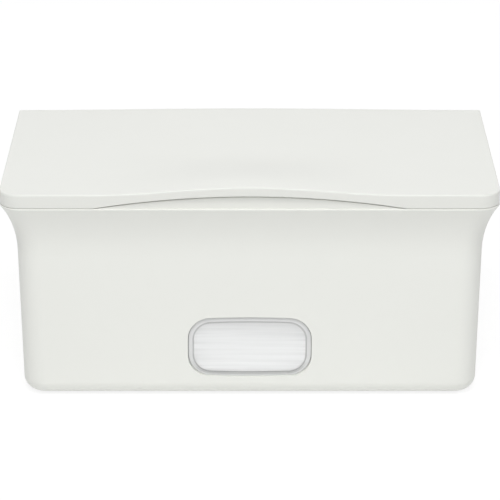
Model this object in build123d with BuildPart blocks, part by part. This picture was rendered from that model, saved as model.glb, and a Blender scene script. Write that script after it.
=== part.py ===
from build123d import *
from math import cos, pi, radians, sin, sqrt, tan
import os

# Wipes dispenser: a flared tub with a clear window, a hinged lid with an arched finger lip,
# and a weighted plate that lies on the wipes. Millimetres, +Z up, the front towards -Y.
# The pieces are drawn about the middle of the tub's rim and moved back together at the end,
# so that the origin lies on the resting plane under the middle of the whole dispenser.

os.makedirs("parts", exist_ok=True)
made = {}

# Tub
rim_width = 228.6
rim_depth = 132.6
tub_height = 94.8
corner_radius = 10.6
rear_rim_radius = 3.0
flare_height = 25.0
flare_out = 7.4
draft_angle = 1.2
wall = 2.4
floor_thickness = 2.6
base_edge_radius = 7.0
base_inner_radius = 3.6
rim_edge_radius = 0.4
flare_steps = 7

# Upstand inside the rim, which the lid closes over
ledge_width = 3.0
upstand_thickness = 2.6

# Finger wall in front of the upstand, which closes the lid's arch and is scooped in the middle
finger_wall_clearance = 1.1
finger_wall_end_gap = 1.0
finger_wall_inset = 0.2
finger_wall_scoop = 0.9

# Feet
foot_stand = 0.8
foot_diameter = 14.0
foot_thickness = 2.0
foot_edge_radius = 0.5
foot_inset_x = 22.0
foot_inset_y = 20.0
foot_clearance = 0.1

# Window
window_width = 57.3
window_height = 30.1
window_centre_height = 25.2
window_corner_radius = 10.5
window_bow = 0.9
lens_recess = 0.5
lens_clearance = 0.25
lens_bevel_width = 2.5
lens_bevel_depth = 0.9
lens_flange = 2.5
lens_flange_thickness = 1.0
window_seal_thickness = 0.5
window_seal_inset = 0.3

# Lid
lid_inset = 0.6
lid_gap = 0.1
lid_height = 7.1
lid_plate = 2.0
lid_skirt = 2.2
lid_edge_radius = 0.6
skirt_lean = 1.6
crown_rise = 0.9
brow_rise = 3.8
brow_swell = 0.6
brow_half_span = 72.0
brow_run = 60.0
brow_swell_run = 22.0
brow_fade_run = 24.0
lid_half_steps = 6
arch_rise = 6.3
arch_half_span = 71.0
skirt_clearance = 0.5

# Hinge
pin_diameter = 2.0
pin_chamfer = 0.2
pin_end_recess = 1.5
pin_past_ear = 2.0
pin_running_clearance = 0.06
pin_seat_clearance = 0.02
ear_inset = 27.5
ear_width = 12.0
ear_radius = 2.1
ear_root = 1.2
ear_clearance = 0.3
ear_side_clearance = 0.4
barrel_gap = 0.5
barrel_flat_angle = 250.0
stop_angle = 104.0
shell_end_angle = 4.0

# Lid liner and seal
seal_thickness = 0.9
seal_gap = 0.3
seal_overhang = 3.0
seal_side_clearance = 0.2
liner_clearance = 1.2
liner_thickness = 1.6
liner_edge_radius = 0.5
liner_rib = 1.6

# Weighted plate
plate_clearance = 2.2
plate_corner_radius = 8.0
plate_thickness = 8.0
plate_skin = 2.0
plate_base_clearance = 0.15
plate_edge_radius = 1.0
slot_length = 100.0
slot_width = 24.0
slot_collar = 1.8
slot_lip = 1.5
slot_lip_radius = 0.7
weight_end_room = 9.1
weight_side_room = 4.45
weight_thickness = 3.2
weight_clearance = 0.2
weight_rib = 1.2
weight_rib_height = 2.0

# Wipes
stack_side_room = 8.1
stack_front_room = 1.9
stack_rear_room = 5.2
stack_height = 66.0
stack_base_radius = 2.6
stack_corner_radius = 6.0
stack_clearance = 0.3
neck_width = 40.0
neck_depth = 6.0
neck_radius = 2.0
tuft_width = 70.0
tuft_depth = 32.0
tuft_height = 7.5
tuft_radius = 10.0
tuft_top_inset_x = 7.0
tuft_top_inset_y = 5.0

# Levels and places that follow from the sizes above
half_width = rim_width / 2
half_depth = rim_depth / 2
draft = tan(radians(draft_angle))
rim_level = foot_stand + tub_height
flare_start = tub_height - flare_height
flare_bend = flare_out - draft * flare_height
flare_radius = (flare_height**2 + flare_bend**2) / (2 * flare_bend)
floor_level = foot_stand + floor_thickness

upstand_half_width = half_width - ledge_width
upstand_front = -half_depth + ledge_width

lid_half_width = half_width - lid_inset
lid_front = -half_depth + lid_inset
lid_rear = half_depth - lid_inset
lid_bottom = rim_level + lid_gap
lid_top = lid_bottom + lid_height
lid_underside = lid_top - lid_plate
seal_bottom = lid_underside - seal_thickness
upstand_top = seal_bottom - seal_gap
upstand_height = upstand_top - rim_level

barrel_radius = lid_height / 2
hinge_y = lid_rear - barrel_radius
hinge_z = lid_top - barrel_radius
upstand_rear = hinge_y - barrel_radius - barrel_gap
ear_centre = lid_half_width - ear_inset
pin_length = ear_inset + ear_width / 2 + pin_past_ear - pin_end_recess

mouth_half_width = upstand_half_width - upstand_thickness
mouth_front = upstand_front + upstand_thickness
mouth_rear = half_depth - flare_out - wall
mouth_front_radius = corner_radius - ledge_width - upstand_thickness
mouth_rear_radius = rear_rim_radius

stack_top = floor_level + stack_height
plate_bottom = stack_top + stack_clearance
plate_top = plate_bottom + plate_thickness


def rounded_outline(level, width, front, rear, front_radius, rear_radius):
    """A rectangle about the YZ plane on a level plane, with rounded corners."""
    with BuildSketch(Plane.XY.offset(level)) as outline:
        with Locations((0, (front + rear) / 2)):
            Rectangle(2 * width, rear - front)
        fillet(outline.vertices().group_by(Axis.Y)[0], front_radius)
        fillet(outline.vertices().group_by(Axis.Y)[-1], rear_radius)
    return outline.sketch


def tub_inset(height):
    """How far the tub's wall lies inside its rim, at a height above the tub's base."""
    if height < flare_start:
        return flare_out + draft * (flare_start - height)
    rise = height - flare_start
    bend = flare_radius - sqrt(flare_radius**2 - rise**2)
    return flare_out - draft * rise - bend


def tub_section(height):
    """The tub's outer outline: the rear corners sharpen from the wall's to the rim's radius."""
    inset = tub_inset(height)
    share = max(0.0, (height - flare_start) / flare_height)
    rear_radius = corner_radius + (rear_rim_radius - corner_radius) * share
    return rounded_outline(
        foot_stand + height,
        half_width - inset,
        inset - half_depth,
        half_depth - inset,
        corner_radius,
        rear_radius,
    )


def wall_cavity_section(height):
    """The tub's inner outline below the flare."""
    inset = tub_inset(height) + wall
    inner_radius = corner_radius - wall
    return rounded_outline(
        foot_stand + height,
        half_width - inset,
        inset - half_depth,
        half_depth - inset,
        inner_radius,
        inner_radius,
    )


def window_outline(plane, growth):
    """The window's outline: a rounded rectangle whose long edges bow outwards."""
    half_w = window_width / 2 + growth
    half_h = window_height / 2 + growth
    corner_h = half_h - window_bow
    with BuildSketch(plane) as outline:
        with BuildLine():
            ThreePointArc((-half_w, -corner_h), (0, -half_h), (half_w, -corner_h))
            Line((half_w, -corner_h), (half_w, corner_h))
            ThreePointArc((half_w, corner_h), (0, half_h), (-half_w, corner_h))
            Line((-half_w, corner_h), (-half_w, -corner_h))
        make_face()
        fillet(outline.vertices(), window_corner_radius + growth)
    return outline.sketch


def arched_outline(plane, half_span, foot_level, rise, depth):
    """A shape under an arc that stands on foot_level, reaching depth below it."""
    with BuildSketch(plane) as outline:
        with BuildLine():
            ThreePointArc(
                (-half_span, foot_level),
                (0, foot_level + rise),
                (half_span, foot_level),
            )
            Polyline(
                (half_span, foot_level),
                (half_span, foot_level - depth),
                (-half_span, foot_level - depth),
                (-half_span, foot_level),
            )
        make_face()
    return outline.sketch


def front_plane(y):
    """An upright plane that faces the front, with its own up along +Z."""
    return Plane(origin=(0, y, 0), x_dir=(1, 0, 0), z_dir=(0, -1, 0))


# The tub's inside at its base, which the plate and the wipes have to fit
base_half_width = half_width - tub_inset(0) - wall
base_half_depth = half_depth - tub_inset(0) - wall

# The window is worked square to the drafted front wall, from the middle of its outer face.
window_wall_y = tub_inset(window_centre_height - foot_stand) - half_depth
window_plane = Plane(
    origin=(0, window_wall_y, window_centre_height),
    x_dir=(1, 0, 0),
    z_dir=(0, -cos(radians(draft_angle)), -sin(radians(draft_angle))),
)


# Tub

with BuildPart() as tub_cavity:
    loft(
        [wall_cavity_section(floor_thickness), wall_cavity_section(flare_start)],
        ruled=True,
    )
    fillet(
        tub_cavity.faces().sort_by(Axis.Z)[0].edges(),
        base_inner_radius,
    )
    mouth = rounded_outline(
        rim_level,
        mouth_half_width,
        mouth_front,
        mouth_rear,
        mouth_front_radius,
        mouth_rear_radius,
    )
    loft([wall_cavity_section(flare_start), mouth], ruled=True)
    extrude(mouth, amount=upstand_height)

finger_wall_half_span = arch_half_span - finger_wall_end_gap
finger_wall_rise = lid_gap + arch_rise - finger_wall_clearance
finger_wall_front = lid_front + finger_wall_inset

with BuildPart() as finger_wall:
    wall_face = arched_outline(
        front_plane(lid_front),
        finger_wall_half_span,
        rim_level,
        finger_wall_rise,
        rim_edge_radius,
    )
    extrude(wall_face, amount=lid_front - upstand_front)
    with BuildSketch(Plane.XY.offset(rim_level - rim_edge_radius)):
        with BuildLine():
            ThreePointArc(
                (-finger_wall_half_span, finger_wall_front),
                (0, finger_wall_front + finger_wall_scoop),
                (finger_wall_half_span, finger_wall_front),
            )
            Polyline(
                (finger_wall_half_span, finger_wall_front),
                (finger_wall_half_span, upstand_front),
                (-finger_wall_half_span, upstand_front),
                (-finger_wall_half_span, finger_wall_front),
            )
        make_face()
    extrude(amount=rim_edge_radius + finger_wall_rise, mode=Mode.INTERSECT)

with BuildPart() as body_shell:
    loft([tub_section(0), tub_section(flare_start)], ruled=True)
    loft(
        [
            tub_section(flare_start + flare_height * step / flare_steps)
            for step in range(flare_steps + 1)
        ]
    )
    fillet(body_shell.faces().sort_by(Axis.Z)[0].edges(), base_edge_radius)
    fillet(body_shell.faces().sort_by(Axis.Z)[-1].edges(), rim_edge_radius)
    upstand = rounded_outline(
        rim_level,
        upstand_half_width,
        upstand_front,
        upstand_rear,
        corner_radius - ledge_width,
        rear_rim_radius,
    )
    extrude(upstand, amount=upstand_height)
    add(finger_wall.part)

    # Ears that carry the hinge pins behind the upstand, each on a buttress with the lid's stop
    stop_slope = radians(stop_angle + shell_end_angle)
    buttress_drop = hinge_z - rim_level
    buttress_reach = -buttress_drop / tan(stop_slope)
    ear_front = upstand_rear - hinge_y - ear_root
    ear_shoulder = ear_radius / 2
    for side in (-1, 1):
        with BuildSketch(Plane.YZ.offset(side * ear_centre)):
            with Locations((hinge_y, hinge_z)):
                Circle(ear_radius)
                Polygon(
                    (0, 0),
                    (-buttress_reach, -buttress_drop - rim_edge_radius),
                    (ear_front, -buttress_drop - rim_edge_radius),
                    (ear_front, -ear_clearance),
                    (-ear_shoulder, ear_shoulder),
                    align=None,
                )
        extrude(amount=ear_width / 2, both=True)
    with BuildSketch(Plane.YZ):
        with Locations((hinge_y, hinge_z)):
            Circle(pin_diameter / 2 + pin_seat_clearance)
    extrude(amount=ear_centre + ear_width, both=True, mode=Mode.SUBTRACT)

    add(tub_cavity.part, mode=Mode.SUBTRACT)
    extrude(window_outline(window_plane, 0), amount=-2 * wall, mode=Mode.SUBTRACT)
    foot_x = half_width - foot_inset_x - flare_out
    foot_y = half_depth - foot_inset_y - flare_out
    with BuildSketch(Plane.XY.offset(foot_stand)):
        with GridLocations(2 * foot_x, 2 * foot_y, 2, 2):
            Circle(foot_diameter / 2 + foot_clearance)
    extrude(amount=foot_thickness - foot_stand, mode=Mode.SUBTRACT)

made["body_shell"] = body_shell.part


# Window: a clear lens in the opening, held by its flange against a seal inside the wall

with BuildPart() as window_lens:
    flange_face = -wall - window_seal_thickness
    extrude(
        window_outline(window_plane.offset(flange_face), lens_flange),
        amount=-lens_flange_thickness,
    )
    extrude(
        window_outline(window_plane.offset(flange_face), -lens_clearance),
        amount=-flange_face - lens_recess,
    )
    chamfer(
        window_lens.faces().sort_by(Axis.Y)[0].edges(),
        length=lens_bevel_width,
        length2=lens_bevel_depth,
        reference=window_lens.faces().sort_by(Axis.Y)[0],
    )

made["window_lens"] = window_lens.part

with BuildPart() as window_seal:
    extrude(
        window_outline(window_plane.offset(-wall), lens_flange),
        amount=-window_seal_thickness,
    )
    extrude(
        window_outline(window_plane.offset(-wall), window_seal_inset),
        amount=-window_seal_thickness,
        mode=Mode.SUBTRACT,
    )

made["window_seal"] = window_seal.part


# Feet

foot_places = {
    "foot_front_left": (-foot_x, -foot_y),
    "foot_front_right": (foot_x, -foot_y),
    "foot_rear_left": (-foot_x, foot_y),
    "foot_rear_right": (foot_x, foot_y),
}
for foot_name, foot_place in foot_places.items():
    with BuildPart() as foot:
        with BuildSketch():
            with Locations(foot_place):
                Circle(foot_diameter / 2)
        extrude(amount=foot_thickness)
        fillet(foot.faces().sort_by(Axis.Z)[0].edges(), foot_edge_radius)
    made[foot_name] = foot.part


# Hinge pins

pin_outer_end = lid_half_width - pin_end_recess
pin_sides = {"hinge_pin_left": -1, "hinge_pin_right": 1}
for pin_name, side in pin_sides.items():
    with BuildPart() as hinge_pin:
        with BuildSketch(Plane.YZ.offset(side * pin_outer_end)):
            with Locations((hinge_y, hinge_z)):
                Circle(pin_diameter / 2)
        extrude(amount=-side * pin_length)
        chamfer(hinge_pin.edges().filter_by(GeomType.CIRCLE), pin_chamfer)
    made[pin_name] = hinge_pin.part


# Lid


def lid_section(x):
    """The lid's outer profile across its depth: the brow at the front swells and then fades
    over brow_run, the crown grows from there to the rear, and the rear edge is rolled round
    the hinge."""
    crown = crown_rise * cos(pi * x / (2 * lid_half_width)) ** 2
    brow = 0.0
    if abs(x) < brow_half_span:
        brow = brow_rise * cos(pi * x / (2 * brow_half_span)) ** 2
    section_front = lid_front - 2 * skirt_lean
    brow_end = section_front + brow_run
    third = (hinge_y - brow_end) / 3
    roll = 4 / 3 * (sqrt(2) - 1)
    roll_rise = lid_top + crown - hinge_z
    with BuildSketch(Plane.YZ.offset(x)) as section:
        with BuildLine():
            Line((section_front, lid_bottom), (section_front, lid_top + brow))
            Bezier(
                (section_front, lid_top + brow),
                (section_front + brow_swell_run, lid_top + brow * (1 + brow_swell)),
                (brow_end - brow_fade_run, lid_top),
                (brow_end, lid_top),
            )
            Bezier(
                (brow_end, lid_top),
                (brow_end + third, lid_top),
                (hinge_y - third, lid_top + crown),
                (hinge_y, lid_top + crown),
            )
            Bezier(
                (hinge_y, lid_top + crown),
                (hinge_y + roll * barrel_radius, lid_top + crown),
                (lid_rear, hinge_z + roll * roll_rise),
                (lid_rear, hinge_z),
            )
            Bezier(
                (lid_rear, hinge_z),
                (lid_rear, hinge_z - roll * barrel_radius),
                (hinge_y + roll * barrel_radius, lid_bottom),
                (hinge_y, lid_bottom),
            )
            Line((hinge_y, lid_bottom), (section_front, lid_bottom))
        make_face()
    return section.sketch


def lid_plan(level):
    """The lid's outline at a level: its front leans out towards the top."""
    lean = (level - lid_bottom) / lid_height
    return rounded_outline(
        level,
        lid_half_width,
        lid_front - lean * skirt_lean,
        lid_rear + corner_radius,
        corner_radius - lid_inset,
        rear_rim_radius,
    )


with BuildPart() as lid_hollow:
    skirt_inside = rounded_outline(
        lid_bottom - lid_gap,
        lid_half_width - lid_skirt,
        lid_front + lid_skirt,
        lid_rear,
        corner_radius - lid_inset - lid_skirt,
        rear_rim_radius,
    )
    extrude(skirt_inside, amount=lid_gap + lid_height - lid_plate)
    barrel_foot_angle = radians(barrel_flat_angle)
    barrel_meet = sqrt(barrel_radius**2 - (lid_underside - hinge_z) ** 2)
    barrel_foot = (
        hinge_y + barrel_radius * cos(barrel_foot_angle),
        hinge_z + barrel_radius * sin(barrel_foot_angle),
    )
    with BuildSketch(Plane.YZ):
        with BuildLine():
            ThreePointArc(
                (hinge_y - barrel_meet, lid_underside),
                (hinge_y - barrel_radius, hinge_z),
                barrel_foot,
            )
            Polyline(
                barrel_foot,
                (barrel_foot[0], lid_bottom - lid_gap),
                (lid_front, lid_bottom - lid_gap),
                (lid_front, lid_underside),
                (hinge_y - barrel_meet, lid_underside),
            )
        make_face()
    extrude(amount=lid_half_width, both=True, mode=Mode.INTERSECT)

with BuildPart() as lid_cover:
    steps = range(-lid_half_steps, lid_half_steps + 1)
    loft([lid_section(lid_half_width * step / lid_half_steps) for step in steps])
    loft([lid_plan(lid_bottom), lid_plan(lid_top + lid_height)], ruled=True, mode=Mode.INTERSECT)
    finger_arch = arched_outline(
        front_plane(lid_front - skirt_lean),
        arch_half_span,
        lid_bottom,
        arch_rise,
        lid_gap,
    )
    arch_depth = skirt_lean + lid_skirt + skirt_clearance
    extrude(finger_arch, amount=-arch_depth, mode=Mode.SUBTRACT)
    side_edges = lid_cover.edges().filter_by(
        lambda edge: abs(edge.center().X) > lid_half_width - lid_edge_radius / 2
    )
    front_edges = lid_cover.edges().filter_by(
        lambda edge: edge.center().Y < lid_front + lid_edge_radius / 2
    )
    fillet(side_edges + front_edges, lid_edge_radius)
    add(lid_hollow.part, mode=Mode.SUBTRACT)

    # Notches for the ears: a shell over the top and rear of each stays, and is the lid's stop
    notch_front = -barrel_radius - ear_clearance
    notch_rear = barrel_radius + ear_clearance
    shell_end = -notch_rear * tan(radians(shell_end_angle))
    for side in (-1, 1):
        with BuildSketch(Plane.YZ.offset(side * ear_centre)):
            with Locations((hinge_y, hinge_z)):
                Circle(ear_radius + ear_clearance)
                Polygon(
                    (notch_front, lid_underside - hinge_z),
                    (0, lid_underside - hinge_z),
                    (0, 0),
                    (notch_rear, shell_end),
                    (notch_rear, notch_front),
                    (notch_front, notch_front),
                    align=None,
                )
        extrude(
            amount=ear_width / 2 + ear_side_clearance,
            both=True,
            mode=Mode.SUBTRACT,
        )
        with BuildSketch(Plane.YZ.offset(side * lid_half_width)):
            with Locations((hinge_y, hinge_z)):
                Circle(pin_diameter / 2 + pin_running_clearance)
        extrude(
            amount=-side * (pin_length + 2 * pin_end_recess),
            mode=Mode.SUBTRACT,
        )

made["lid_cover"] = lid_cover.part

liner_half_width = mouth_half_width - liner_clearance
liner_front = mouth_front + liner_clearance
liner_rear = mouth_rear - liner_clearance
liner_radius = mouth_front_radius
rib_half_width = liner_half_width - seal_overhang
rib_front = liner_front + seal_overhang
rib_rear = liner_rear - seal_overhang
rib_inner_radius = liner_radius - liner_rib

with BuildPart() as lid_liner:
    liner_outline = rounded_outline(
        seal_bottom,
        liner_half_width,
        liner_front,
        liner_rear,
        liner_radius,
        liner_radius,
    )
    extrude(liner_outline, amount=-liner_thickness)
    rib_outline = rounded_outline(
        seal_bottom,
        rib_half_width,
        rib_front,
        rib_rear,
        liner_radius,
        liner_radius,
    )
    extrude(rib_outline, amount=seal_thickness)
    rib_inside = rounded_outline(
        seal_bottom,
        rib_half_width - liner_rib,
        rib_front + liner_rib,
        rib_rear - liner_rib,
        rib_inner_radius,
        rib_inner_radius,
    )
    extrude(rib_inside, amount=seal_thickness, mode=Mode.SUBTRACT)
    fillet(lid_liner.faces().sort_by(Axis.Z)[0].edges(), liner_edge_radius)

made["lid_liner"] = lid_liner.part

with BuildPart() as lid_seal:
    seal_outline = rounded_outline(
        seal_bottom,
        upstand_half_width - seal_side_clearance,
        upstand_front + seal_side_clearance,
        upstand_rear - seal_side_clearance,
        corner_radius - ledge_width,
        rear_rim_radius,
    )
    extrude(seal_outline, amount=seal_thickness)
    seal_inside = rounded_outline(
        seal_bottom,
        rib_half_width,
        rib_front,
        rib_rear,
        liner_radius,
        liner_radius,
    )
    extrude(seal_inside, amount=seal_thickness, mode=Mode.SUBTRACT)

made["lid_seal"] = lid_seal.part


# Weighted plate

plate_half_width = base_half_width - plate_clearance
plate_half_depth = base_half_depth - plate_clearance - lens_flange_thickness
weight_bay_start = slot_length / 2 + slot_collar
weight_bay = plate_half_width - plate_skin - weight_bay_start
weight_x = weight_bay_start + weight_bay / 2
weight_half_room_y = plate_half_depth - plate_skin - weight_end_room - weight_rib
weight_half_room_x = weight_bay / 2 - weight_side_room - weight_rib
weight_length = 2 * (weight_half_room_y - weight_clearance)
weight_width = 2 * (weight_half_room_x - weight_clearance)

with BuildPart() as plate_cover:
    plate_outline = rounded_outline(
        plate_bottom,
        plate_half_width,
        -plate_half_depth,
        plate_half_depth,
        plate_corner_radius,
        plate_corner_radius,
    )
    extrude(plate_outline, amount=plate_thickness)
    fillet(plate_cover.faces().sort_by(Axis.Z)[-1].edges(), plate_edge_radius)
    plate_room = rounded_outline(
        plate_bottom,
        plate_half_width - plate_skin,
        -plate_half_depth + plate_skin,
        plate_half_depth - plate_skin,
        plate_corner_radius - plate_skin,
        plate_corner_radius - plate_skin,
    )
    extrude(plate_room, amount=plate_thickness - plate_skin, mode=Mode.SUBTRACT)
    with BuildSketch(Plane.XY.offset(plate_bottom)):
        SlotOverall(slot_length + 2 * slot_collar, slot_width + 2 * slot_collar)
    extrude(amount=plate_thickness + slot_lip)
    fillet(plate_cover.faces().sort_by(Axis.Z)[-1].edges(), slot_lip_radius)
    with BuildSketch(Plane.XY.offset(plate_bottom)):
        SlotOverall(slot_length, slot_width)
    extrude(amount=plate_thickness + slot_lip, mode=Mode.SUBTRACT)

made["plate_cover"] = plate_cover.part

with BuildPart() as plate_base:
    base_inset = plate_skin + plate_base_clearance
    base_outline = rounded_outline(
        plate_bottom,
        plate_half_width - base_inset,
        -plate_half_depth + base_inset,
        plate_half_depth - base_inset,
        plate_corner_radius - base_inset,
        plate_corner_radius - base_inset,
    )
    extrude(base_outline, amount=plate_skin)
    with BuildSketch(Plane.XY.offset(plate_bottom + plate_skin)):
        with Locations((-weight_x, 0), (weight_x, 0)):
            Rectangle(
                2 * (weight_half_room_x + weight_rib),
                2 * (weight_half_room_y + weight_rib),
            )
            Rectangle(
                2 * weight_half_room_x,
                2 * weight_half_room_y,
                mode=Mode.SUBTRACT,
            )
    extrude(amount=weight_rib_height)
    with BuildSketch(Plane.XY.offset(plate_bottom)):
        base_slot_growth = 2 * (slot_collar + plate_base_clearance)
        SlotOverall(slot_length + base_slot_growth, slot_width + base_slot_growth)
    extrude(amount=plate_thickness, mode=Mode.SUBTRACT)

made["plate_base"] = plate_base.part

weight_sides = {"plate_weight_left": -1, "plate_weight_right": 1}
for weight_name, side in weight_sides.items():
    with BuildPart() as plate_weight:
        with BuildSketch(Plane.XY.offset(plate_bottom + plate_skin)):
            with Locations((side * weight_x, 0)):
                RectangleRounded(weight_width, weight_length, weight_rib)
        extrude(amount=weight_thickness)
        chamfer(plate_weight.faces().sort_by(Axis.Z)[-1].edges(), weight_clearance)
    made[weight_name] = plate_weight.part


# Wipes: the folded stack, and the next wipe drawn up through the plate's slot

stack_width = 2 * (base_half_width - stack_side_room)
stack_depth = 2 * base_half_depth - stack_front_room - stack_rear_room
stack_y = (stack_front_room - stack_rear_room) / 2

with BuildPart() as wipes_stack:
    with BuildSketch(Plane.XY.offset(floor_level)):
        with Locations((0, stack_y)):
            RectangleRounded(stack_width, stack_depth, stack_corner_radius)
    extrude(amount=stack_height)
    fillet(wipes_stack.faces().sort_by(Axis.Z)[0].edges(), stack_base_radius)

made["wipes_stack"] = wipes_stack.part

with BuildPart() as top_wipe:
    neck_top = plate_top + slot_lip + stack_clearance
    with BuildSketch(Plane.XY.offset(plate_bottom)):
        RectangleRounded(neck_width, neck_depth, neck_radius)
    extrude(amount=neck_top - plate_bottom)
    with BuildSketch(Plane.XY.offset(neck_top)):
        RectangleRounded(neck_width, neck_depth, neck_radius)
    with BuildSketch(Plane.XY.offset(neck_top + tuft_height / 2)):
        RectangleRounded(tuft_width, tuft_depth, tuft_radius)
    with BuildSketch(Plane.XY.offset(neck_top + tuft_height)):
        RectangleRounded(
            tuft_width - 2 * tuft_top_inset_x,
            tuft_depth - 2 * tuft_top_inset_y,
            tuft_radius,
        )
    loft()

made["top_wipe"] = top_wipe.part


# Export: the lid's lip reaches further than the rear of the rim, so the middle isn't at 0

front_reach = lid_cover.part.bounding_box().min.Y
rear_reach = body_shell.part.bounding_box().max.Y
middle_y = round((front_reach + rear_reach) / 2, 2)
for part_name, part in made.items():
    placed = part.moved(Location((0, -middle_y, 0)))
    placed.label = part_name
    export_step(placed, f"parts/{part_name}.step")
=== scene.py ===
import math
import random
from functools import partial

import bpy
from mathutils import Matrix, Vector


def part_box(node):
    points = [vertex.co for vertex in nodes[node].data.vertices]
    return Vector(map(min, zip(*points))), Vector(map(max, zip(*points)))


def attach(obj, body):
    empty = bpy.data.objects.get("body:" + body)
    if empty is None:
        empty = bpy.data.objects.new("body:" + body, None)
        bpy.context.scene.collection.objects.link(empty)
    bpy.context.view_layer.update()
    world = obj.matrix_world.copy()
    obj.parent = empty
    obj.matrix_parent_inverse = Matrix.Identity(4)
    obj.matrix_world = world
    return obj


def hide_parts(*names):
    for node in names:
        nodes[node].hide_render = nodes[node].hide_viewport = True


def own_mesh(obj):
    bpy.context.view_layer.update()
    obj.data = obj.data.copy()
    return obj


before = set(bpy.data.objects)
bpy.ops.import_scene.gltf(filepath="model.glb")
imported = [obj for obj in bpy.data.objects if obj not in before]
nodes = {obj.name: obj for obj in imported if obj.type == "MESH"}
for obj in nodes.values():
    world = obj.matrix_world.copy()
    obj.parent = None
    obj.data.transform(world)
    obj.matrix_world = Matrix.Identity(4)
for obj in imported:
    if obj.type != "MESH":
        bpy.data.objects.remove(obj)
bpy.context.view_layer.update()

scene = bpy.context.scene
MM = 0.001


# Camera

IMAGE_SIZE = 500
SENSOR_MM = 36.0
FOCAL_PIXELS = 2835.0
CAMERA_ELEVATION = math.radians(20.0)
CAMERA_DISTANCE = 1.2877
AIM = Vector((0.0, -0.0650, 0.0760))
SHIFT = (0.0005, 0.0005)


def add_camera():
    """A long lens straight in front, looking down on the dispenser."""
    data = bpy.data.cameras.new("camera")
    data.sensor_width = SENSOR_MM
    data.lens = FOCAL_PIXELS / IMAGE_SIZE * SENSOR_MM
    data.clip_end = 20
    data.shift_x, data.shift_y = SHIFT
    camera = bpy.data.objects.new("camera", data)
    scene.collection.objects.link(camera)
    back = Vector((0, -math.cos(CAMERA_ELEVATION), math.sin(CAMERA_ELEVATION)))
    camera.location = AIM + CAMERA_DISTANCE * back
    camera.rotation_euler = (math.pi / 2 - CAMERA_ELEVATION, 0, 0)
    scene.camera = camera


# Node helpers

def new_material(name):
    """A material with its node tree cleared, and that tree."""
    material = bpy.data.materials.new(name)
    material.use_nodes = True
    tree = material.node_tree
    tree.nodes.clear()
    return material, tree


def put(tree, kind, links=None, **values):
    """A node of a kind with its sockets set, and fed by the outputs in links."""
    node = tree.nodes.new(kind)
    for name, value in values.items():
        socket = node.inputs[name.replace("_", " ")]
        socket.default_value = value
    for name, source in (links or {}).items():
        tree.links.new(source, node.inputs[name])
    return node


def noise(tree, place, scale, detail=2.0, roughness=0.5):
    """A noise texture's factor at a scale per metre."""
    node = put(
        tree,
        "ShaderNodeTexNoise",
        {"Vector": place},
        Scale=scale,
        Detail=detail,
        Roughness=roughness,
    )
    return node.outputs["Fac"]


def ramp(tree, value, low, high, start=0.0, end=1.0):
    """A value turned from low to high, as another passes from start to end."""
    node = put(
        tree,
        "ShaderNodeMapRange",
        {"Value": value},
        From_Min=start,
        From_Max=end,
        To_Min=low,
        To_Max=high,
    )
    return node.outputs["Result"]


def mixed_colour(tree, factor, first, second):
    """The first colour where the factor is 0, and the second where it is 1."""
    node = tree.nodes.new("ShaderNodeMix")
    node.data_type = "RGBA"
    node.inputs[6].default_value = (*first, 1)
    node.inputs[7].default_value = (*second, 1)
    tree.links.new(factor, node.inputs[0])
    return node.outputs[2]


def mixed_shader(tree, factor, first, second):
    """The first shader where the factor is 0, and the second where it is 1."""
    node = tree.nodes.new("ShaderNodeMixShader")
    for socket, source in zip(node.inputs, (factor, first, second)):
        tree.links.new(source, socket)
    return node.outputs[0]


def tinted(tree, factor, colour, dark, light):
    """A colour that a factor varies between two strengths of itself."""
    dark_colour = [min(1.0, dark * channel) for channel in colour]
    light_colour = [min(1.0, light * channel) for channel in colour]
    return mixed_colour(tree, factor, dark_colour, light_colour)


def bump(tree, height, strength, distance, under=None):
    """The normal of a bump in metres, laid over another bump's normal."""
    links = {"Height": height}
    if under is not None:
        links["Normal"] = under
    node = put(tree, "ShaderNodeBump", links, Strength=strength, Distance=distance)
    return node.outputs["Normal"]


def object_place(tree):
    return tree.nodes.new("ShaderNodeTexCoord").outputs["Object"]


def math_node(tree, operation, first, second=0.0):
    """A math node's result, of sockets or numbers."""
    node = tree.nodes.new("ShaderNodeMath")
    node.operation = operation
    for socket, value in zip(node.inputs, (first, second)):
        if isinstance(value, (int, float)):
            socket.default_value = value
        else:
            tree.links.new(value, socket)
    return node.outputs[0]


def finish_material(tree, shader_socket):
    put(tree, "ShaderNodeOutputMaterial", {"Surface": shader_socket})


# Light

WORLD_LIGHT = 0.29
WHITE = (1, 1, 1, 1)
LAMP_AIM = (0, 0, 0.05)
NARROW = (1.4, 1.0)
WIDE = (1.9, 1.4)
LAMPS = (
    ("key_low", (0, -2.2, 1.9), NARROW, 21),
    ("key_high", (0, -1.44, 2.55), NARROW, 33),
    ("top", (0, 0, 2.9), WIDE, 4.6),
    ("back", (0, 2.35, 1.7), WIDE, 8),
)
FLOOR_HALF = 6.0
FLOOR_WHITE = 0.95
FLOOR_GLOW = 0.84
FLOOR_MATT = 0.22


def add_lamp(name, place, size, watts):
    """A soft rectangular lamp at a place, turned towards the dispenser."""
    data = bpy.data.lights.new(name, "AREA")
    data.shape = "RECTANGLE"
    data.size, data.size_y = size
    data.energy = watts
    lamp = bpy.data.objects.new(name, data)
    scene.collection.objects.link(lamp)
    lamp.location = place
    lamp.rotation_euler = (Vector(LAMP_AIM) - Vector(place)).to_track_quat("-Z", "Y").to_euler()


def seen_white(tree, unseen, seen):
    """The shader seen for rays from the camera, glass and glossy surfaces, else unseen."""
    rays = tree.nodes.new("ShaderNodeLightPath").outputs
    factor = math_node(tree, "MAXIMUM", rays["Is Camera Ray"], rays["Is Glossy Ray"])
    factor = math_node(tree, "MAXIMUM", factor, rays["Is Transmission Ray"])
    return mixed_shader(tree, factor, unseen, seen)


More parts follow.
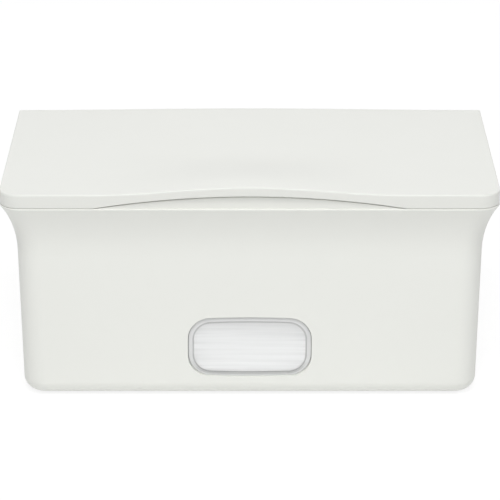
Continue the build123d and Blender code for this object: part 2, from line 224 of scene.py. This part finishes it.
def add_world():
    """An even surround that lights the object, and is plain white where it is seen."""
    world = bpy.data.worlds.new("studio")
    scene.world = world
    world.use_nodes = True
    tree = world.node_tree
    tree.nodes.clear()
    light = put(tree, "ShaderNodeBackground", Color=WHITE, Strength=WORLD_LIGHT)
    white = put(tree, "ShaderNodeBackground", Color=WHITE, Strength=1.0)
    surface = seen_white(tree, light.outputs[0], white.outputs[0])
    put(tree, "ShaderNodeOutputWorld", {"Surface": surface})


def grey(value):
    return (value, value, value, 1)


def add_floor(half):
    """A white floor: a glow for the camera, with enough of its own light to show shadows."""
    mesh = bpy.data.meshes.new("floor")
    corners = [(-half, -half, 0), (half, -half, 0), (half, half, 0), (-half, half, 0)]
    mesh.from_pydata(corners, [], [(0, 1, 2, 3)])
    floor = bpy.data.objects.new("floor", mesh)
    scene.collection.objects.link(floor)
    material, tree = new_material("floor_white")
    white = put(tree, "ShaderNodeBsdfDiffuse", Color=grey(FLOOR_WHITE))
    glow = put(tree, "ShaderNodeEmission", Color=grey(FLOOR_GLOW), Strength=1.0)
    faint = put(tree, "ShaderNodeBsdfDiffuse", Color=grey(FLOOR_MATT))
    shown = tree.nodes.new("ShaderNodeAddShader")
    tree.links.new(glow.outputs[0], shown.inputs[0])
    tree.links.new(faint.outputs[0], shown.inputs[1])
    finish_material(tree, seen_white(tree, white.outputs[0], shown.outputs[0]))
    mesh.materials.append(material)


add_camera()
add_world()
for lamp_values in LAMPS:
    add_lamp(*lamp_values)
add_floor(FLOOR_HALF)


# Materials

def moulded_plastic(name, colour, roughness, mottle=0.008, grain=0.06, grain_scale=2600.0):
    """Moulded plastic: a faint mottle, uneven gloss and a fine spark-eroded grain."""
    material, tree = new_material(name)
    place = object_place(tree)
    cloud = noise(tree, place, 22.0, 3.0)
    smear = noise(tree, place, 65.0, 4.0, 0.6)
    fine = noise(tree, place, grain_scale, 3.0, 0.6)
    shader = put(
        tree,
        "ShaderNodeBsdfPrincipled",
        {
            "Base Color": tinted(tree, cloud, colour, 1 - mottle, 1 + mottle),
            "Roughness": ramp(tree, smear, roughness - 0.05, roughness + 0.05),
            "Normal": bump(tree, fine, grain, 0.06 * MM),
        },
        IOR=1.5,
    )
    finish_material(tree, shader.outputs[0])
    return material


# The window's outline and its looks, in millimetres
WINDOW_HALF = (28.65, 15.05)
WINDOW_CENTRE = 25.2
WINDOW_RADIUS = 10.5
WINDOW_BOW = 0.9
BEVEL_WIDTH = 2.5
BEVEL_FADE = 0.35
BEVEL_COLOUR = (0.83, 0.835, 0.835)
MILKY_COLOUR = (0.915, 0.92, 0.92)
BEVEL_AND_CLEAR_ROUGHNESS = (0.35, 0.12)
BEVEL_AND_CLEAR_TRANSMISSION = (0.2, 0.42)
SHADOW_TINT = (0.95, 0.955, 0.955, 1)
# Painted shade: dark lines along the bevel's outer and inner edges
EDGE_SHADE = 0.55
EDGE_BAND = (0.1, 0.5)
# Painted shade on the bevel's downward-facing lower part: its strength, band and facing
PAINTED_LOWER_SHADE = 0.3
PAINTED_LOWER_BAND = (0.8, 1.4)
DOWNWARD = (-0.12, -0.33)
# Painted light and shade: faint lines of the wipe layers' edges, laid on the lens's clear part
STREAK_STRETCH = (0.03, 0.03, 1.0)
STREAK_SCALE = 620.0
STREAK_REACH = 11.0
STREAK_DEPTH = (0.24, 0.1)


def inside_window(tree, place):
    """How far a point lies inside the window's bowed outline, in millimetres."""
    calc = partial(math_node, tree)
    parts = put(tree, "ShaderNodeSeparateXYZ", {"Vector": place})
    x = calc("MULTIPLY", parts.outputs["X"], 1 / MM)
    z = calc("MULTIPLY", calc("SUBTRACT", parts.outputs["Z"], WINDOW_CENTRE * MM), 1 / MM)
    bow = calc("MULTIPLY", calc("MULTIPLY", x, x), WINDOW_BOW / WINDOW_HALF[0] ** 2)
    up = calc("ADD", calc("ABSOLUTE", z), bow)
    out_x = calc("SUBTRACT", calc("ABSOLUTE", x), WINDOW_HALF[0] - WINDOW_RADIUS)
    out_z = calc("SUBTRACT", up, WINDOW_HALF[1] - WINDOW_RADIUS)
    past_x = calc("MAXIMUM", out_x)
    past_z = calc("MAXIMUM", out_z)
    squares = calc("ADD", calc("MULTIPLY", past_x, past_x), calc("MULTIPLY", past_z, past_z))
    straight = calc("MINIMUM", calc("MAXIMUM", out_x, out_z))
    outside = calc("ADD", calc("SQRT", squares), straight)
    return calc("SUBTRACT", WINDOW_RADIUS, outside)


def lens_shade(tree, place, inside, clear):
    """How dark the lens is painted: painted shade along the bevel's edges and on its downward
    lower part, and faint painted light and shade of the wipes' layer edges in the clear part."""
    calc = partial(math_node, tree)
    # Painted shade: a dark line along the bevel's outer and inner edges
    edge = calc("ABSOLUTE", calc("SUBTRACT", inside, BEVEL_WIDTH))
    line = ramp(tree, calc("MINIMUM", edge, inside), EDGE_SHADE, 1.0, *EDGE_BAND)
    # Painted shade: the bevel is darkened where it faces downwards, from 0.8 mm inside its
    # outer edge
    normal = tree.nodes.new("ShaderNodeNewGeometry").outputs["Normal"]
    facing = put(tree, "ShaderNodeSeparateXYZ", {"Vector": normal})
    lower = ramp(tree, facing.outputs["Z"], 0.0, 1.0, *DOWNWARD)
    lower_shade = calc("MULTIPLY", lower, ramp(tree, inside, 0.0, PAINTED_LOWER_SHADE, *PAINTED_LOWER_BAND))
    shade = calc("MULTIPLY", line, calc("SUBTRACT", 1.0, lower_shade))
    # Painted light and shade: faint lines of the wipe layers' edges on the clear part
    level = put(tree, "ShaderNodeMapping", {"Vector": place}, Scale=STREAK_STRETCH)
    streak = ramp(tree, noise(tree, level.outputs[0], STREAK_SCALE), -1.0, 1.0)
    depth = ramp(tree, inside, *STREAK_DEPTH, BEVEL_WIDTH, STREAK_REACH)
    streak = calc("MULTIPLY", streak, calc("MULTIPLY", depth, clear))
    return calc("MULTIPLY", shade, calc("ADD", streak, 1.0))


def clear_plastic(name):
    """Clear moulded plastic that bends light and lets the lamps reach what is behind it, with
    a ground bevel round the window."""
    material, tree = new_material(name)
    place = object_place(tree)
    inside = inside_window(tree, place)
    clear = ramp(tree, inside, 0.0, 1.0, BEVEL_WIDTH, BEVEL_WIDTH + BEVEL_FADE)
    shaded = tree.nodes.new("ShaderNodeVectorMath")
    shaded.operation = "SCALE"
    colour = mixed_colour(tree, clear, BEVEL_COLOUR, MILKY_COLOUR)
    tree.links.new(colour, shaded.inputs[0])
    # The colour carries painted shade and painted light from lens_shade
    tree.links.new(lens_shade(tree, place, inside, clear), shaded.inputs["Scale"])
    ripple = noise(tree, place, 90.0)
    shader = put(
        tree,
        "ShaderNodeBsdfPrincipled",
        {
            "Base Color": shaded.outputs[0],
            "Roughness": ramp(tree, clear, *BEVEL_AND_CLEAR_ROUGHNESS),
            "Transmission Weight": ramp(tree, clear, *BEVEL_AND_CLEAR_TRANSMISSION),
            "Normal": bump(tree, ripple, 0.04, 0.1 * MM),
        },
        IOR=1.49,
    )
    through = put(tree, "ShaderNodeBsdfTransparent", Color=SHADOW_TINT)
    rays = tree.nodes.new("ShaderNodeLightPath").outputs
    shown = mixed_shader(tree, rays["Is Shadow Ray"], shader.outputs[0], through.outputs[0])
    finish_material(tree, shown)
    return material


def soft_rubber(name, colour, roughness):
    """Matt rubber or silicone with a dusty speckle."""
    material, tree = new_material(name)
    place = object_place(tree)
    cloud = noise(tree, place, 180.0, 4.0, 0.6)
    fine = noise(tree, place, 3200.0, 3.0)
    shader = put(
        tree,
        "ShaderNodeBsdfPrincipled",
        {
            "Base Color": tinted(tree, cloud, colour, 0.95, 1.05),
            "Roughness": ramp(tree, cloud, roughness - 0.08, roughness + 0.08),
            "Normal": bump(tree, fine, 0.25, 0.05 * MM),
        },
        IOR=1.43,
    )
    finish_material(tree, shader.outputs[0])
    return material


def brushed_steel(name, colour, roughness, stretch):
    """Plain steel with fine drawn lines along the axis whose stretch is smallest."""
    material, tree = new_material(name)
    place = object_place(tree)
    mapping = put(tree, "ShaderNodeMapping", {"Vector": place}, Scale=stretch)
    lines = noise(tree, mapping.outputs[0], 900.0, 4.0, 0.65)
    cloud = noise(tree, place, 60.0, 3.0)
    shader = put(
        tree,
        "ShaderNodeBsdfPrincipled",
        {
            "Base Color": tinted(tree, cloud, colour, 0.93, 1.05),
            "Roughness": ramp(tree, lines, roughness - 0.07, roughness + 0.1),
            "Normal": bump(tree, lines, 0.2, 0.02 * MM),
        },
        Metallic=1.0,
    )
    finish_material(tree, shader.outputs[0])
    return material


def wet_cloth(name, colour):
    """Damp nonwoven wipe: tangled fibres over a soft embossed dimple."""
    material, tree = new_material(name)
    place = object_place(tree)
    mapping = put(tree, "ShaderNodeMapping", {"Vector": place}, Scale=(1.0, 0.35, 1.0))
    fibres = noise(tree, mapping.outputs[0], 1500.0, 5.0, 0.7)
    cloud = noise(tree, place, 70.0, 3.0)
    dimples = put(tree, "ShaderNodeTexVoronoi", {"Vector": place}, Scale=420.0)
    soft = bump(tree, dimples.outputs["Distance"], 0.25, 0.12 * MM)
    shader = put(
        tree,
        "ShaderNodeBsdfPrincipled",
        {
            "Base Color": tinted(tree, cloud, colour, 0.985, 1.015),
            "Roughness": ramp(tree, fibres, 0.62, 0.9),
            "Normal": bump(tree, fibres, 0.35, 0.08 * MM, soft),
        },
        IOR=1.4,
        Sheen_Weight=0.15,
        Sheen_Roughness=0.5,
    )
    finish_material(tree, shader.outputs[0])
    return material


def paint(material, *names):
    """Gives CAD nodes a material."""
    for name in names:
        mesh = nodes[name].data
        mesh.materials.clear()
        mesh.materials.append(material)


SHELL_COLOUR = (0.831, 0.839, 0.799)
PLATE_COLOUR = (0.77, 0.78, 0.76)
RUBBER_COLOUR = (0.42, 0.42, 0.41)
SILICONE_COLOUR = (0.62, 0.63, 0.62)
STEEL_COLOUR = (0.56, 0.56, 0.55)
WIPE_COLOUR = (0.93, 0.935, 0.935)

wipe_cloth = wet_cloth("wipe_cloth", WIPE_COLOUR)
paint(
    moulded_plastic("shell_satin", SHELL_COLOUR, 0.42),
    "body_shell",
    "lid_cover",
    "lid_liner",
)
paint(clear_plastic("window_clear"), "window_lens")
paint(
    soft_rubber("foot_rubber", RUBBER_COLOUR, 0.75),
    "foot_front_left",
    "foot_front_right",
    "foot_rear_left",
    "foot_rear_right",
)
paint(soft_rubber("seal_silicone", SILICONE_COLOUR, 0.5), "lid_seal", "window_seal")
paint(
    moulded_plastic("plate_satin", PLATE_COLOUR, 0.38, grain=0.1),
    "plate_cover",
    "plate_base",
)
paint(
    brushed_steel("pin_steel", STEEL_COLOUR, 0.25, (0.02, 1.0, 1.0)),
    "hinge_pin_left",
    "hinge_pin_right",
)
paint(
    brushed_steel("weight_steel", STEEL_COLOUR, 0.4, (1.0, 0.05, 1.0)),
    "plate_weight_left",
    "plate_weight_right",
)


# Wipes

def add_piece(name, vertices, faces, material, body):
    """A smooth-shaded mesh piece that rides on a body."""
    mesh = bpy.data.meshes.new(name)
    mesh.from_pydata(vertices, [], faces)
    mesh.polygons.foreach_set("use_smooth", [True] * len(mesh.polygons))
    mesh.materials.append(material)
    piece = bpy.data.objects.new(name, mesh)
    scene.collection.objects.link(piece)
    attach(piece, body)
    return piece


def rounded_rectangle(half_x, half_y, radius, corner_steps, side_steps):
    """Points of a rounded rectangle with its outward directions, anticlockwise."""
    points = []
    centres = [
        (half_x - radius, half_y - radius),
        (radius - half_x, half_y - radius),
        (radius - half_x, radius - half_y),
        (half_x - radius, radius - half_y),
    ]
    for index, (centre_x, centre_y) in enumerate(centres):
        for step in range(corner_steps + 1):
            angle = math.pi / 2 * (index + step / corner_steps)
            out = (math.cos(angle), math.sin(angle))
            points.append(((centre_x + radius * out[0], centre_y + radius * out[1]), out))
        last, out = points[-1]
        following = centres[(index + 1) % len(centres)]
        end = (following[0] + radius * out[0], following[1] + radius * out[1])
        for step in range(1, side_steps):
            share = step / side_steps
            between = tuple(a + (b - a) * share for a, b in zip(last, end))
            points.append((between, out))
    return points


# The stack's uneven layers and the waves along their edges, in millimetres
STACK_SEED = 7
STACK_LAYERS = 36
STACK_CORNER = 5.0
LAYER_SPREAD = (0.75, 1.25)
LAYER_PROFILE = ((0.9, 0.0), (0.2, 0.16), (0.0, 0.5), (0.2, 0.84), (0.9, 1.0))
LAYER_SLIP = (0.8, 0.12)
LAYER_SHRINK = 0.25
EDGE_WAVES = ((0, 0.12, 17), (0, 0.08, 7), (1, 0.1, 9))
LIFT_SHARE = 0.12
LIFT_WAVE = 23
CORNER_STEPS = 6
SIDE_STEPS = 24


def layer_points(ring, shift, bottom, thickness, lift, phases):
    """The points of one folded layer, a ring for each step of its rounded edge."""
    points = []
    for inset, level in LAYER_PROFILE:
        between = 0 < level < 1
        for place, out in ring:
            reach = -inset
            for (axis, height, length), phase in zip(EDGE_WAVES, phases):
                reach += height * math.sin(place[axis] / length + phase)
            rise = lift * math.sin(place[0] / LIFT_WAVE + phases[3]) * between
            x, y = (place[axis] + shift[axis] + out[axis] * reach for axis in range(2))
            points.append(Vector((x, y, bottom + thickness * level + rise)) * MM)
    return points


def layer_faces(start, count):
    """The faces between the rings of one layer, with its bottom and its top."""
    faces = []
    for row in range(len(LAYER_PROFILE) - 1):
        for index in range(count):
            here = start + row * count + index
            beside = start + row * count + (index + 1) % count
            faces.append((here, beside, beside + count, here + count))
    last_row = start + (len(LAYER_PROFILE) - 1) * count
    faces.append(tuple(range(start + count - 1, start - 1, -1)))
    faces.append(tuple(range(last_row, last_row + count)))
    return faces


def build_stack():
    """The folded wipes as separate uneven layers, filling the stack's box."""
    chance = random.Random(STACK_SEED)
    low, high = (Vector(corner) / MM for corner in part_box("wipes_stack"))
    half_x, half_y = (high.x - low.x) / 2, (high.y - low.y) / 2
    middle_y = (high.y + low.y) / 2
    shares = [chance.uniform(*LAYER_SPREAD) for _ in range(STACK_LAYERS)]
    unit = (high.z - low.z) / sum(shares)
    vertices, faces = [], []
    bottom = low.z
    for share in shares:
        slip_x, slip_y = (chance.uniform(-slip, slip) for slip in LAYER_SLIP)
        grow = chance.uniform(-LAYER_SHRINK, 0.0)
        phases = [chance.uniform(0, 2 * math.pi) for _ in range(4)]
        sides = (half_x + grow, half_y + grow)
        ring = rounded_rectangle(*sides, STACK_CORNER, CORNER_STEPS, SIDE_STEPS)
        faces += layer_faces(len(vertices), len(ring))
        shift = (slip_x, middle_y + slip_y)
        thickness = share * unit
        vertices += layer_points(ring, shift, bottom, thickness, LIFT_SHARE * unit, phases)
        bottom += thickness
    stack = add_piece("wipes_layers", vertices, faces, wipe_cloth, "tub")
    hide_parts("wipes_stack")
    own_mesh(stack)


# The top wipe's sheet, in millimetres
SHEET_SEED = 11
SHEET_HALF_NECK = 20.0
SHEET_HALF_END = 33.0
SHEET_FLARE = 1.6
SHEET_THICKNESS = 0.45
SHEET_COLUMNS = 110
SHEET_ROWS = 48
PLEATS = 6
PLEAT_DEPTH = (2.2, 1.2)
PLEAT_LEAN = 0.5
DRIFT_REACH = 0.6
DRIFT_TURNS = 2
CREASE_DEPTH = 0.35
CREASE_PITCH = 2.3
CREASE_SLANT = 3
RAGGED_DEPTH = 0.9
RAGGED_PITCH = 1.3
RAGGED_POWER = 8


def along_route(route, place):
    """The point and slope of a smooth curve through the route's points, at a place from 0."""
    index = min(int(place), len(route) - 2)
    share = place - index
    before = route[max(index - 1, 0)]
    after = route[min(index + 2, len(route) - 1)]
    point, slope = [], []
    for a, b, c, d in zip(before, route[index], route[index + 1], after):
        square = a - 2.5 * b + 2 * c - d / 2
        cube = 1.5 * (b - c) + (d - a) / 2
        point.append(b + share * (c - a) / 2 + share**2 * square + share**3 * cube)
        slope.append((c - a) / 2 + 2 * share * square + 3 * share**2 * cube)
    return point, slope


def thick_sheet(grid, thickness):
    """The vertices and faces of a grid of points, given a thickness half to each side."""
    rows, columns = len(grid) - 1, len(grid[0]) - 1
    sides = {1: [], -1: []}
    for row in range(rows + 1):
        for column in range(columns + 1):
            across = grid[row][min(column + 1, columns)] - grid[row][max(column - 1, 0)]
            along = grid[min(row + 1, rows)][column] - grid[max(row - 1, 0)][column]
            out = across.cross(along).normalized() * thickness / 2
            for side, vertices in sides.items():
                vertices.append(grid[row][column] + side * out)
    width = columns + 1
    under = len(sides[1])
    faces = []
    for row in range(rows):
        for column in range(columns):
            here = row * width + column
            face = (here, here + 1, here + 1 + width, here + width)
            faces.append(face)
            faces.append(tuple(under + corner for corner in reversed(face)))
    last = rows * width
    rim = list(range(columns))
    rim += [row * width + columns for row in range(rows)]
    rim += [last + column for column in range(columns, 0, -1)]
    rim += [row * width for row in range(rows, 0, -1)]
    for a, b in zip(rim, rim[1:] + rim[:1]):
        faces.append((b, a, under + a, under + b))
    return sides[1] + sides[-1], faces


def build_top_wipe():
    """The next wipe, gathered up through the slot and flopped towards the front."""
    chance = random.Random(SHEET_SEED)
    low, high = (Vector(corner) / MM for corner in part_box("top_wipe"))
    middle_y = (low.y + high.y) / 2
    route = [
        (1.5, low.z + 0.3),
        (1.0, low.z + 6.0),
        (0.5, high.z - 5.0),
        (-1.0, high.z - 2.0),
        (-4.5, high.z - 1.3),
        (-9.0, high.z - 2.2),
        (-14.0, high.z - 5.2),
    ]
    phases = [chance.uniform(0, 2 * math.pi) for _ in range(4)]
    grid = []
    for row in range(SHEET_ROWS + 1):
        along = row / SHEET_ROWS
        point, slope = along_route(route, along * (len(route) - 1))
        length = math.hypot(*slope)
        normal = (-slope[1] / length, slope[0] / length)
        half = SHEET_HALF_NECK + (SHEET_HALF_END - SHEET_HALF_NECK) * along**SHEET_FLARE
        depth = PLEAT_DEPTH[0] + (PLEAT_DEPTH[1] - PLEAT_DEPTH[0]) * along
        points = []
        for column in range(SHEET_COLUMNS + 1):
            across = 2 * column / SHEET_COLUMNS - 1
            turn = math.pi * PLEATS * across
            drift = DRIFT_REACH * math.sin(DRIFT_TURNS * along + phases[1])
            fold = depth * math.sin(turn + phases[0] + drift)
            slant = CREASE_SLANT * along
            fold += CREASE_DEPTH * math.sin(CREASE_PITCH * turn + slant + phases[2])
            fray = RAGGED_DEPTH * along**RAGGED_POWER
            ragged = fray * math.sin(RAGGED_PITCH * turn + phases[3])
            x = half * across + PLEAT_LEAN * math.sin(2 * turn)
            y = middle_y + point[0] + normal[0] * fold - ragged
            z = point[1] + normal[1] * fold
            points.append(Vector((x, y, z)) * MM)
        grid.append(points)
    vertices, faces = thick_sheet(grid, SHEET_THICKNESS * MM)
    wipe = add_piece("top_wipe_cloth", vertices, faces, wipe_cloth, "plate")
    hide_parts("top_wipe")


build_stack()
build_top_wipe()


# Colour view

scene.view_settings.view_transform = "Standard"
